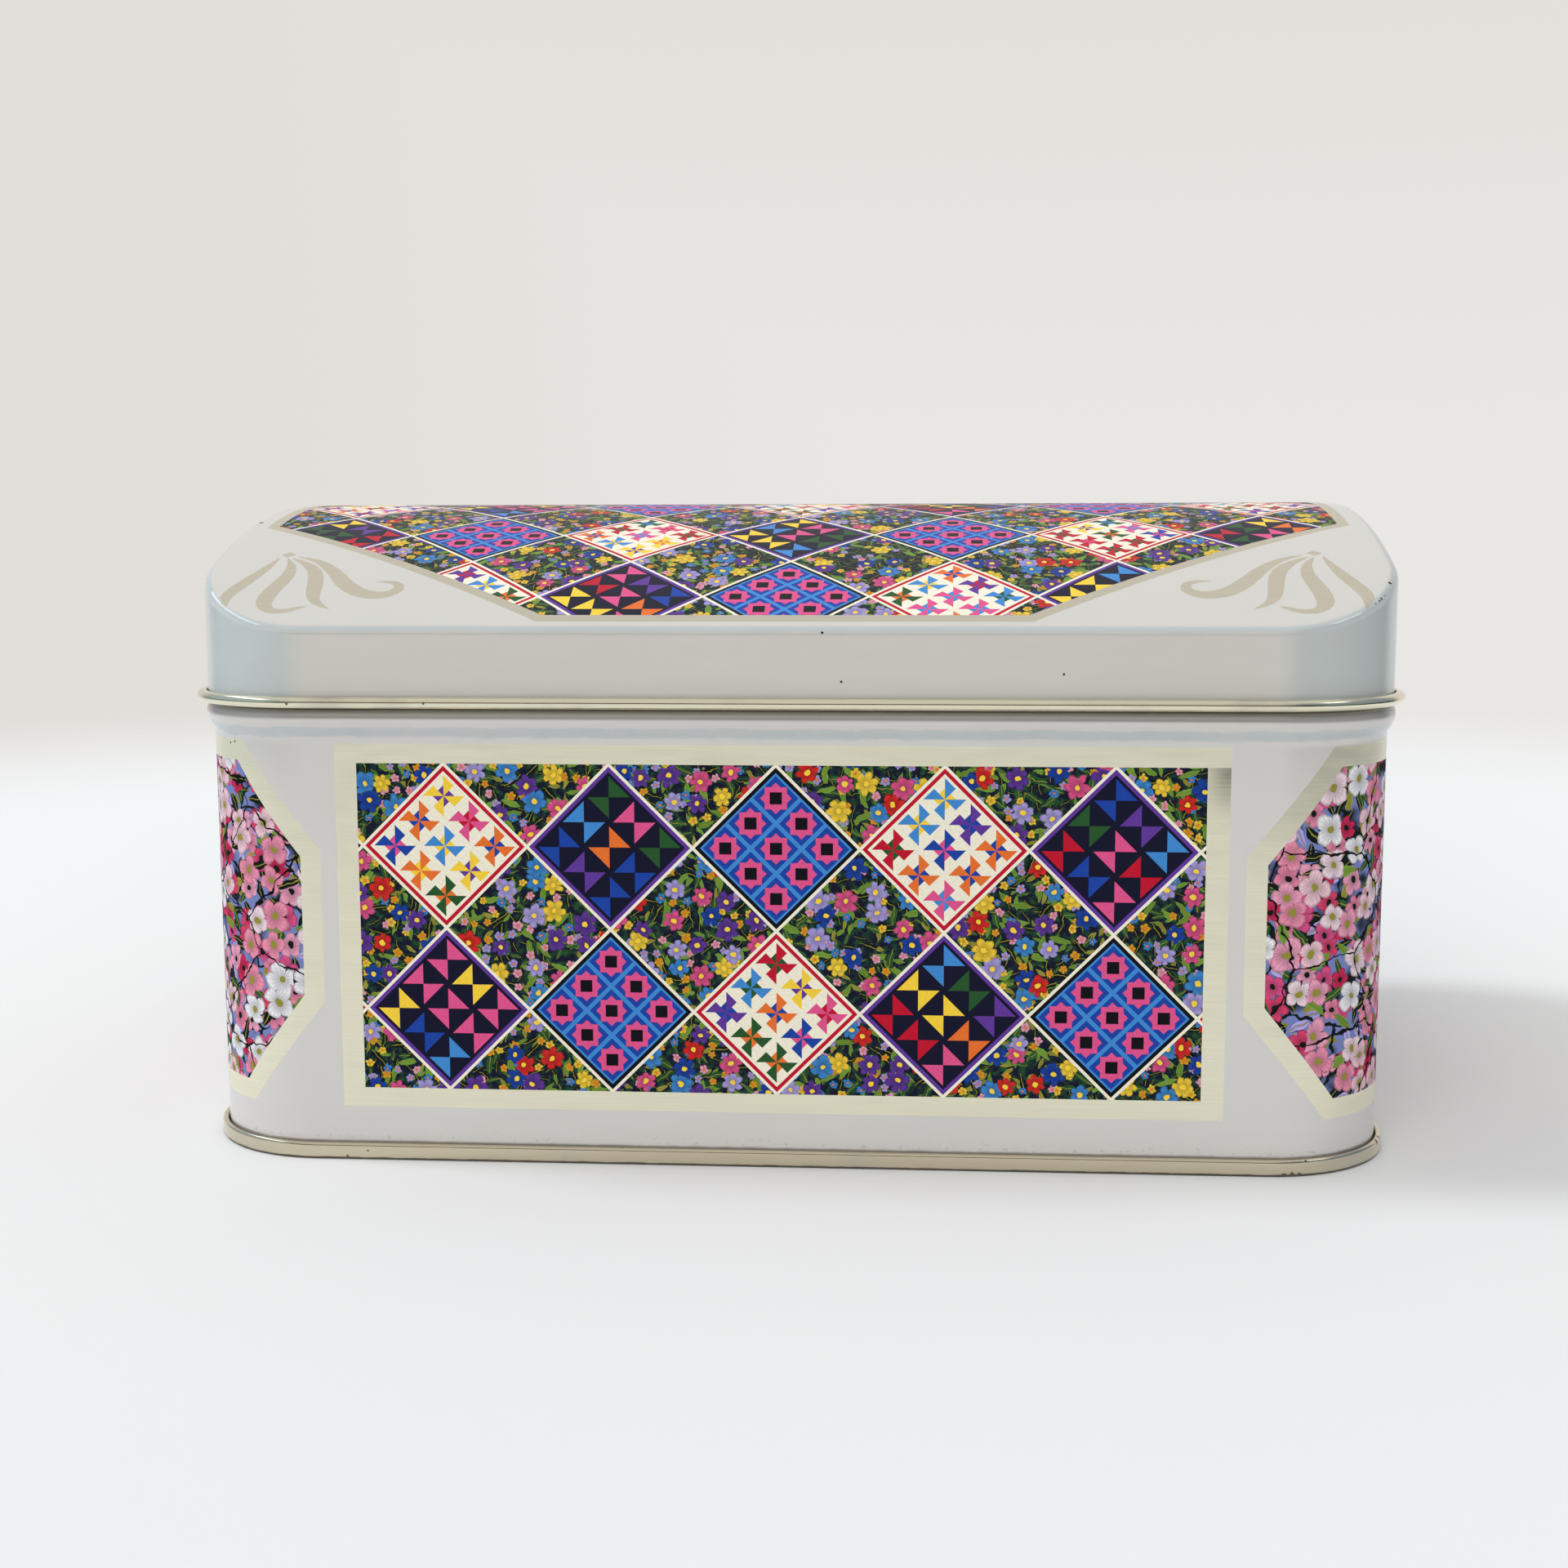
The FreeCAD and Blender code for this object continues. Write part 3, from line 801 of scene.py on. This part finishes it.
# %% Lacquered tin
TIN, INSIDE_TIN, SEAM_TIN = paint(230, 225, 200), paint(226, 220, 200), paint(211, 200, 176)
WORN, RUST_AND_SHADOW = paint(198, 193, 180), paint(58, 48, 38)
SEAM_NICKS = ((81.7, -74.9, 0.3, 0.5), (83.0, -74.7, 0.3, 0.55), (84.2, -74.5, 0.35, 0.4),
              (85.3, -74.1, 2.6, 0.22), (98.9, -62.3, 2.5, 0.45), (99.7, -60.2, 2.6, 0.4),
              (-73.5, -75.2, 0.6, 0.22), (-70.0, -75.2, 1.6, 0.16))
CURL_NICKS = ((-81.0, -76.7, 77.0, 0.24), (-58.3, -76.7, 77.1, 0.24), (-89.5, -76.4, 76.4, 0.2))


def lacquered_tin(name, tint, haze, nicks=(), foot=False):
    """Metal with a warm tint, streaked along the roll, greyer in patches and stained in a few spots.

    The haze is its least roughness. On the foot, a dark line of painted contact shadow, with worn lacquer,
    runs along the line that stands on the shelf.
    """
    material, ink = new_finish(name)
    place = place_in_mm(ink)
    x, y, z = place.parts()
    cloud = noise(place, 0.06, 3)
    streak = noise(spot(x * 0.15 + y * 0.15, z * 8), 1.0, 2)
    stain_and_shadow = ramp(noise(place.vector("MULTIPLY", (0.6, 0.6, 2.0)), 0.4, 4, 0.65), 0.72, 0.76)
    if nicks:
        stain_and_shadow = stain_and_shadow | chips(place, nicks)
    if foot:
        # Painted contact shadow, with worn lacquer, along the foot's lowest line.
        stain_and_shadow = stain_and_shadow | (1 - ramp(z + 0.4 * noise(place, 0.25, 3), 0.55, 0.75))
    colour = blend(0.7 * ramp(cloud, 0.5, 0.7), tint, WORN)
    colour = toned(colour, 0.95 + 0.1 * streak)
    colour = blend(0.85 * stain_and_shadow, colour, RUST_AND_SHADOW)
    rough = haze + 0.07 * cloud + 0.04 * streak + 0.35 * stain_and_shadow
    waves = noise(place, 0.1, 2) - 0.05 * stain_and_shadow
    bump = ink.node("Bump", {}, {"Strength": 1.0, "Distance": 0.1 * MM, "Height": waves})
    set_finish(ink, Base_Color=colour, Roughness=rough, Metallic=1 - 0.6 * stain_and_shadow, Normal=bump)
    return material


tin_finish = lacquered_tin("lacquered_tin", TIN, 0.1, CURL_NICKS)
inside_finish = lacquered_tin("inside_tin", INSIDE_TIN, 0.2)
seam_finish = lacquered_tin("seam_tin", SEAM_TIN, 0.05, SEAM_NICKS, foot=True)

# %% [markdown]
# The wall is one strip of tinplate, bent round and closed at the back. From the bottom its profile is a
# hook (hidden in the foot's seam), the flat wall, the stop bead that the lid sits on, the neck and a
# rolled-in rim. The bead is a low parabola eased into the wall by a smooth maximum, as a roller leaves it.

# %% The stop bead
BEAD_MID, BEAD_HEIGHT = 74.3 * MM, 5.6 * MM
BEAD_REACH, BEAD_EASE = 1.3 * MM, 0.25 * MM
BEAD_SPAN = 0.8 * BEAD_HEIGHT


def bead(height):
    """Reach of the wall at a height: the smooth maximum of 0 and reach * (1 - (up / half height) squared)."""
    hump = BEAD_REACH * (1 - ((height - BEAD_MID) / (BEAD_HEIGHT / 2)) ** 2)
    ease = BEAD_EASE * np.exp(-np.maximum(-hump / BEAD_REACH - 0.6, 0))
    return (hump + np.hypot(hump, ease)) / 2


print("bead stands out", round(bead(BEAD_MID) / MM, 3), "mm")

# %% The wall's profile
SEAM_TOP, SEAM_TURN, HOOK_LINE = 2.8 * MM, 0.525 * MM, 0.15 * MM
WALL_FOOT, WALL_TURN = 0.925 * MM, 0.275 * MM
HEM_RADIUS, HEM_TAIL = 0.9 * MM, 1.0 * MM


def wall_profile():
    """Outer face of the wall strip from the hook's tip to the end of the rolled rim."""
    tip = SEAM_TOP - SEAM_TURN - HOOK_LINE
    hook = np.array([[2 * WALL_TURN, tip]])
    turn = arc((WALL_TURN, WALL_FOOT), WALL_TURN, 0, -180, 8)
    rim_turn = RIM_TOP - HEM_RADIUS
    low, high = BEAD_MID - BEAD_SPAN, BEAD_MID + BEAD_SPAN
    lower, middle = np.linspace(WALL_FOOT, low, 14)[1:], np.linspace(low, high, 41)[1:]
    height = np.concatenate([lower, middle, np.linspace(high, rim_turn, 5)[1:]])
    hem = arc((-HEM_RADIUS, rim_turn), HEM_RADIUS, 0, 180, 12)[1:]
    tail = np.array([[-2 * HEM_RADIUS, rim_turn - HEM_TAIL]])
    return np.vstack([hook, turn, np.c_[bead(height), height], hem, tail])


profile = wall_profile()
print("points in the wall's profile", len(profile))

# %% The wall
_, _, ring, ring_out = plan(WALL_X, WALL_Y, CORNER)
back = int(np.argmin(np.hypot(ring[:, 0], ring[:, 1] - WALL_Y)))
ring, ring_out = np.roll(ring, -back, axis=0), np.roll(ring_out, -back, axis=0)
points = carried(ring, ring_out, profile[None, :, 0], profile[None, :, 1])
faces = quads_between(np.arange(len(ring) * len(profile)).reshape(len(ring), -1), True)
wall = new_sheet("wall_sheet", points, faces, "tin_body", "body_wall",
                 [wall_finish, inside_finish])

# %% [markdown]
# The print has to run round the corners, so each corner of a face gets a place on the flat strip: how far
# round the tin from the front's middle, and how high. The ring starts at the back, where the ends meet.

# %% The wall's UV map, in metres
steps = np.linalg.norm(np.roll(ring, -1, axis=0) - ring, axis=1)
far = np.concatenate([[0], np.cumsum(steps)]) * PERIMETER / steps.sum() - PERIMETER / 2
rows, columns = np.divmod(np.arange(len(faces)), len(profile) - 1)
u = np.stack([far[rows], far[rows + 1], far[rows + 1], far[rows]], axis=1)
low_edge, high_edge = profile[columns, 1], profile[columns + 1, 1]
v = np.stack([low_edge, low_edge, high_edge, high_edge], axis=1)
layer = wall.data.uv_layers.new(name="wall")
layer.data.foreach_set("uv", np.stack([u, v], axis=2).ravel())
print("the strip runs", round((far[-1] - far[0]) / MM, 1), "mm round the tin")

# %% [markdown]
# The base is stamped from one sheet. Its edge is rolled over the wall's hook into a double seam, the narrow
# ring that the tin stands on, and its panel is recessed inside that ring so that only the ring touches.
# A grid fills the plan, and the rings of the profile hang on the grid's border.

# %% A filled plan with rings hung on its border


def filled(side, height, down=False):
    """Grid over a plan: rows at the side's points, x from minus to plus the side's x, at given heights."""
    share = np.linspace(-1, 1, ACROSS)
    x, y = side[:, :1] * share, np.repeat(side[:, 1:], ACROSS, axis=1)
    grid = np.stack([x, y, np.broadcast_to(height, x.shape)], axis=2)
    number = np.arange(grid.shape[0] * ACROSS).reshape(-1, ACROSS)
    quads = quads_between(number, False)
    border = np.concatenate([number[0], number[1:, -1], number[-1, -2::-1], number[-2:0:-1, 0]])
    return grid.reshape(-1, 3), quads if down else quads[:, ::-1], border


def hung(grid, quads, border, rings, flip):
    """The grid with rings of points hung on its border. The rings' first column is the border itself."""
    count, steps = rings.shape[:2]
    number = np.c_[border, len(grid) + np.arange(count * (steps - 1)).reshape(count, -1)]
    skirt = quads_between(number, True)
    faces = np.vstack([quads, skirt[:, ::-1] if flip else skirt])
    return np.vstack([grid, rings[:, 1:].reshape(-1, 3)]), faces


print("points across the plan", ACROSS)

# %% The base and its double seam
PANEL_UNDER, PANEL_TURN = 3.4 * MM, 0.675 * MM


def base_profile():
    """Outer face of the base from the panel's edge: turn, chuck wall, foot, seaming wall, top, end hook."""
    top = SEAM_TOP - SEAM_TURN
    chuck = -SEAM_TURN - SHEET / 2
    outer = SEAM_REACH - SEAM_TURN
    return np.vstack([
        arc((chuck - PANEL_TURN, PANEL_UNDER - PANEL_TURN), PANEL_TURN, 90, 0, 6),
        arc((chuck + SEAM_TURN, SEAM_TURN), SEAM_TURN, -180, -90, 6),
        arc((outer, SEAM_TURN), SEAM_TURN, -90, 0, 6),
        arc((outer, top), SEAM_TURN, 0, 180, 12),
        [[HOOK_LINE, WALL_FOOT]],
    ])


side, side_out, ring, ring_out = plan(WALL_X, WALL_Y, CORNER)
profile = base_profile()
grid, quads, border = filled(side + side_out * profile[0, 0], PANEL_UNDER, down=True)
rings = carried(ring, ring_out, profile[None, :, 0], profile[None, :, 1])
points, faces = hung(grid, quads, border, rings, flip=False)
new_sheet("base_sheet", points, faces, "tin_body", "base_plate",
          [seam_finish, inside_finish])

# %% [markdown]
# Inside the back the wall's two ends are hooked together and pressed flat, which leaves a low fold up the
# wall. It shows only when the lid is off.

# %% The lock seam's fold
LOCK_WIDTH, LOCK_DEPTH, LOCK_STEEP = 5 * MM, 0.5 * MM, 6


def lock_fold():
    """Strip up the back: it stands in from the wall by depth times a flat-topped hump across its width."""
    share = np.linspace(-1, 1, 25)
    hump = LOCK_DEPTH * np.clip((1 - np.abs(share)) * LOCK_STEEP, 0, 1) ** 0.5
    height = np.linspace(PANEL_UNDER + 2 * SHEET, BEAD_MID - BEAD_HEIGHT / 2, 12)
    x, z = np.meshgrid(share * LOCK_WIDTH / 2, height, indexing="ij")
    y = np.broadcast_to((WALL_Y - SHEET - hump)[:, None], x.shape)
    return np.stack([x, y, z], axis=2)


points = lock_fold()
faces = quads_between(np.arange(points.shape[0] * points.shape[1]).reshape(points.shape[:2]), False)
new_sheet("lock_fold", points, faces, "tin_body", None, [inside_finish])

# %% [markdown]
# The lid is drawn from one sheet: the vault, a rounded edge, an upright skirt and a curl that turns outwards
# and up, so that the bare inside of the sheet shows on the curl. The edge's rounding has to meet a slope that
# changes round the corners, so each point of the plan gets its own arc.

# %% The lid's edge, skirt and curl
EDGE_RADIUS = 2.0 * MM
CURL_TURN = 300


def lid_rings(ring, ring_out):
    """Rounded edge, skirt and curl at every point of the plan.

    With the vault falling outwards at angle f, the edge's arc turns from 90 - f degrees to level, about a
    centre one radius inside the skirt. The curl turns about a centre outside it, starting at 180 degrees.
    """
    y = np.abs(ring[:, 1] - ring_out[:, 1] * EDGE_RADIUS)
    fall = np.arctan(np.abs(ring_out[:, 1]) * y / np.sqrt(VAULT_RADIUS**2 - y**2))
    start = EDGE_RADIUS * (1 - np.sin(fall))
    top = vault(ring[:, 1] - ring_out[:, 1] * start)
    turn = (np.pi / 2 - fall)[:, None] * np.linspace(1, 0, 9)
    edge_reach = EDGE_RADIUS * (np.cos(turn) - 1)
    edge_height = (top - EDGE_RADIUS * np.cos(fall))[:, None] + EDGE_RADIUS * np.sin(turn)
    drop = np.linspace(0, 1, 9)[1:]
    skirt = edge_height[:, -1:] * (1 - drop) + CURL_MID * drop
    curl = arc((CURL_RADIUS - SHEET, CURL_MID), CURL_RADIUS - SHEET, 180, 180 + CURL_TURN, 30)[1:]
    reach = np.concatenate([edge_reach, np.zeros_like(skirt), np.tile(curl[:, 0], (len(ring), 1))], axis=1)
    height = np.concatenate([edge_height, skirt, np.tile(curl[:, 1], (len(ring), 1))], axis=1)
    return carried(ring, ring_out, reach, height)


side, side_out, ring, ring_out = plan(LID_X, LID_Y, LID_CORNER)
rings = lid_rings(ring, ring_out)
print("rings of the lid", rings.shape[1], "of", rings.shape[0], "points")

# %% The lid
side = rings[ACROSS - 1:ACROSS - 1 + len(side), 0, :2]
grid, quads, border = filled(side, vault(side[:, 1:]))
points, faces = hung(grid, quads, border, rings, flip=True)
new_sheet("lid_sheet", points, faces, "tin_lid", "lid", [lid_finish, tin_finish])

# %% [markdown]
# The stage is plain: a white floor, a pale surround and soft light. The floor fades out half a metre from the
# tin, so no horizon shows from any side, and what the varnish and the metal mirror from further away is the
# surround: bright overhead and in front, cooler and dimmer at the sides, with one dark band low in front,
# as a room has. The camera sees a pale wall behind the tin, a little dimmer at the left and higher up.

# %% Floor
FLOOR_HALF, FADE_START, FADE_END = 1.2, 0.42, 0.85
FLOOR, FLOOR_MARK, FLOOR_SIDE_LIGHT = paint(233, 233, 232), paint(236, 236, 235), paint(240, 240, 239)
FLOOR_LIGHT_START, FLOOR_LIGHT_END = 0.12, 0.26


def stage_floor():
    """A flat white floor: the height is 0 all over a square, and it clears away between two distances.

    Painted light makes it a shade lighter at the sides, by how far a place lies from the middle line.
    """
    mesh = bpy.data.meshes.new("floor")
    x, y = np.meshgrid([-FLOOR_HALF, FLOOR_HALF], [-FLOOR_HALF, FLOOR_HALF])
    mesh.from_pydata(np.stack([x, y, np.zeros_like(x)], axis=2).reshape(-1, 3), [], [(0, 1, 3, 2)])
    material, ink = new_finish("white_floor")
    place = ink.node("TexCoord", {}, {}, "Object")
    x, _, _ = place.parts()
    colour = blend(noise(place, 3.0), FLOOR, FLOOR_MARK)
    # Painted light, lighter towards the sides.
    colour = blend(ramp(abs(x), FLOOR_LIGHT_START, FLOOR_LIGHT_END), colour, FLOOR_SIDE_LIGHT)
    sockets = {"Base Color": colour, "Roughness": 0.8, "Specular IOR Level": 0.1}
    paper = ink.node("BsdfPrincipled", {}, sockets)
    clear = ink.node("BsdfTransparent", {}, {})
    far = ramp(place.vector("LENGTH").also("Value"), FADE_START, FADE_END)
    shader = ink.node("MixShader", {}, {0: far, 1: paper, 2: clear})
    ink.node("OutputMaterial", {}, {"Surface": shader})
    mesh.materials.append(material)
    floor = bpy.data.objects.new("floor", mesh)
    bpy.context.scene.collection.objects.link(floor)


stage_floor()
print("floor fades out by", FADE_END, "m")

# %% Surround
CEILING, FRONT, ROOM = paint(218, 220, 220), paint(224, 219, 211), paint(48, 45, 40)
LEFT, RIGHT = paint(176, 190, 202), paint(140, 152, 166)
LEFT_LOW, RIGHT_LOW = paint(124, 144, 154), paint(50, 58, 66)
PALE, HORIZON = paint(226, 222, 218), paint(233, 231, 228)
OVERHEAD, LEVEL = (0.55, 0.9), (0.02, 0.14)
LEFT_SIDE, RIGHT_NEAR, RIGHT_SIDE = (0.28, 0.6), (0.04, 0.1), (0.2, 0.45)
BAND_START, BAND_END, BAND_AHEAD = (0.0, 0.02), (0.2, 0.34), (0.6, 0.85)
BEHIND, DIM_UP, DIM_LEFT = (0.45, 0.75), (0.0, 0.3), (0.0, 0.35)


def surround():
    """Light by direction for the tin, and a pale tone for what the camera or a reflection sees behind it.

    Each pair above is where a smooth step over one part of the direction starts and ends.
    """
    world = bpy.data.worlds.new("surround")
    world.use_nodes = True
    world.node_tree.nodes.clear()
    ink = Ink(world.node_tree)
    x, y, z = ink.node("TexCoord", {}, {}, "Generated").parts()
    low = 1 - ramp(z, *OVERHEAD)
    colour = blend(low, CEILING, FRONT)
    level = 1 - ramp(z, *LEVEL)
    colour = blend(low * ramp(0 - x, *LEFT_SIDE), colour, blend(level, LEFT, LEFT_LOW))
    right = 0.2 * ramp(x, *RIGHT_NEAR) + 0.8 * ramp(x, *RIGHT_SIDE)
    colour = blend(low * right, colour, blend(level, RIGHT, RIGHT_LOW))
    band = ramp(z, *BAND_START) * (1 - ramp(z, *BAND_END)) * ramp(0 - y, *BAND_AHEAD)
    colour = blend(band, colour, ROOM)
    rays = ink.node("LightPath", {}, {}, "Is Camera Ray")
    behind = (rays.also("Is Glossy Ray") | rays.also("Is Transmission Ray")) & ramp(y, *BEHIND)
    dim = ramp(z, *DIM_UP) | ramp(0 - x, *DIM_LEFT)
    colour = blend(rays | behind, colour, blend(dim, HORIZON, PALE))
    glow = ink.node("Background", {}, {"Color": colour, "Strength": 1.0})
    ink.node("OutputWorld", {}, {"Surface": glow})
    bpy.context.scene.world = world


surround()
print("surround set")

# %% [markdown]
# Six lamps go with it. Four light the tin: the window is a distant lamp with a soft edge, high at the left,
# and it throws the shadow to the right. The room's own lamp is softer, high in front, and shades the bead
# and the curl from above, and two low strips fill the ends. None of these shows in reflections, where a bare
# lamp would glare on the varnish. The last two only show there: two panes high at the sides, whose
# reflections run along the rounded edges.

# %% Lamps


def lamp(name, light, place, target, mirrored=False):
    """A lamp at a place, turned to face a target. It gives light, or it only shows in reflections."""
    made = bpy.data.objects.new(name, light)
    made.visible_glossy, made.visible_diffuse = mirrored, not mirrored
    made.location = place
    made.rotation_euler = (Vector(target) - Vector(place)).to_track_quat("-Z", "Y").to_euler()
    bpy.context.scene.collection.objects.link(made)
    print("lamp", name, round(light.energy, 2))


def distant(strength, softness, colour):
    """A distant lamp: its strength on a surface that faces it, and its width in the sky, in degrees."""
    light = bpy.data.lights.new("distant", "SUN")
    light.energy, light.angle, light.color = strength, np.radians(softness), colour[:3]
    return light


def strip(power, sizes, colour):
    """A rectangular lamp: its power, and its width and height in metres."""
    light = bpy.data.lights.new("strip", "AREA")
    light.shape = "RECTANGLE"
    light.size, light.size_y = sizes
    light.energy, light.color = power, colour[:3]
    return light


MIDDLE, LID_MIDDLE = (0, 0, 0), (0, 0, 0.1)
DAYLIGHT, SKYLIGHT = paint(246, 250, 255), paint(232, 246, 255)
LAMPLIGHT, WARM = paint(255, 252, 248), paint(255, 253, 250)
lamp("window", distant(1.05, 14, DAYLIGHT), (-0.62, 0.07, 0.77), MIDDLE)
lamp("room_lamp", distant(1.05, 50, LAMPLIGHT), (-0.05, -0.7, 0.71), MIDDLE)
lamp("fill_left", strip(0.4, (0.7, 0.03), SKYLIGHT), (-1.0, 0.1, 0.115), LID_MIDDLE)
lamp("fill_right", strip(0.16, (0.16, 0.03), WARM), (0.95, -0.1, 0.115), LID_MIDDLE)
lamp("pane_left", strip(1.4, (1.1, 0.21), SKYLIGHT), (-0.91, -0.02, 0.88), LID_MIDDLE, mirrored=True)
lamp("pane_right", strip(0.45, (0.42, 0.19), WARM), (0.84, -0.34, 0.88), LID_MIDDLE, mirrored=True)

# %% [markdown]
# The camera's place and turn come from fitting the tin's own edges to the photograph. It stands a little to
# the right of the middle and a little above the lid, and looks slightly down.

# %% Camera
EYE = Vector((25.18, -411.02, 107.69)) * MM
YAW, PITCH, ROLL = np.radians([4.24, 7.37, 0.18])
FOCAL, SENSOR, NEAREST = 48.2, 36.0, 0.01


def photo_camera():
    """Camera at the fitted place: yaw about the upright, pitch down, then a small roll."""
    right = Vector((np.cos(YAW), np.sin(YAW), 0))
    ahead = Vector((-np.sin(YAW) * np.cos(PITCH), np.cos(YAW) * np.cos(PITCH), -np.sin(PITCH)))
    down = ahead.cross(right)
    image_x = right * np.cos(ROLL) + down * np.sin(ROLL)
    image_y = down * np.cos(ROLL) - right * np.sin(ROLL)
    data = bpy.data.cameras.new("camera")
    data.lens, data.sensor_width, data.clip_start = FOCAL, SENSOR, NEAREST
    camera = bpy.data.objects.new("camera", data)
    camera.matrix_world = Matrix.Translation(EYE) @ Matrix((image_x, -image_y, -ahead)).transposed().to_4x4()
    bpy.context.scene.collection.objects.link(camera)
    bpy.context.scene.camera = camera


photo_camera()
bpy.context.scene.view_settings.view_transform = "Standard"
print("camera at", EYE[:])
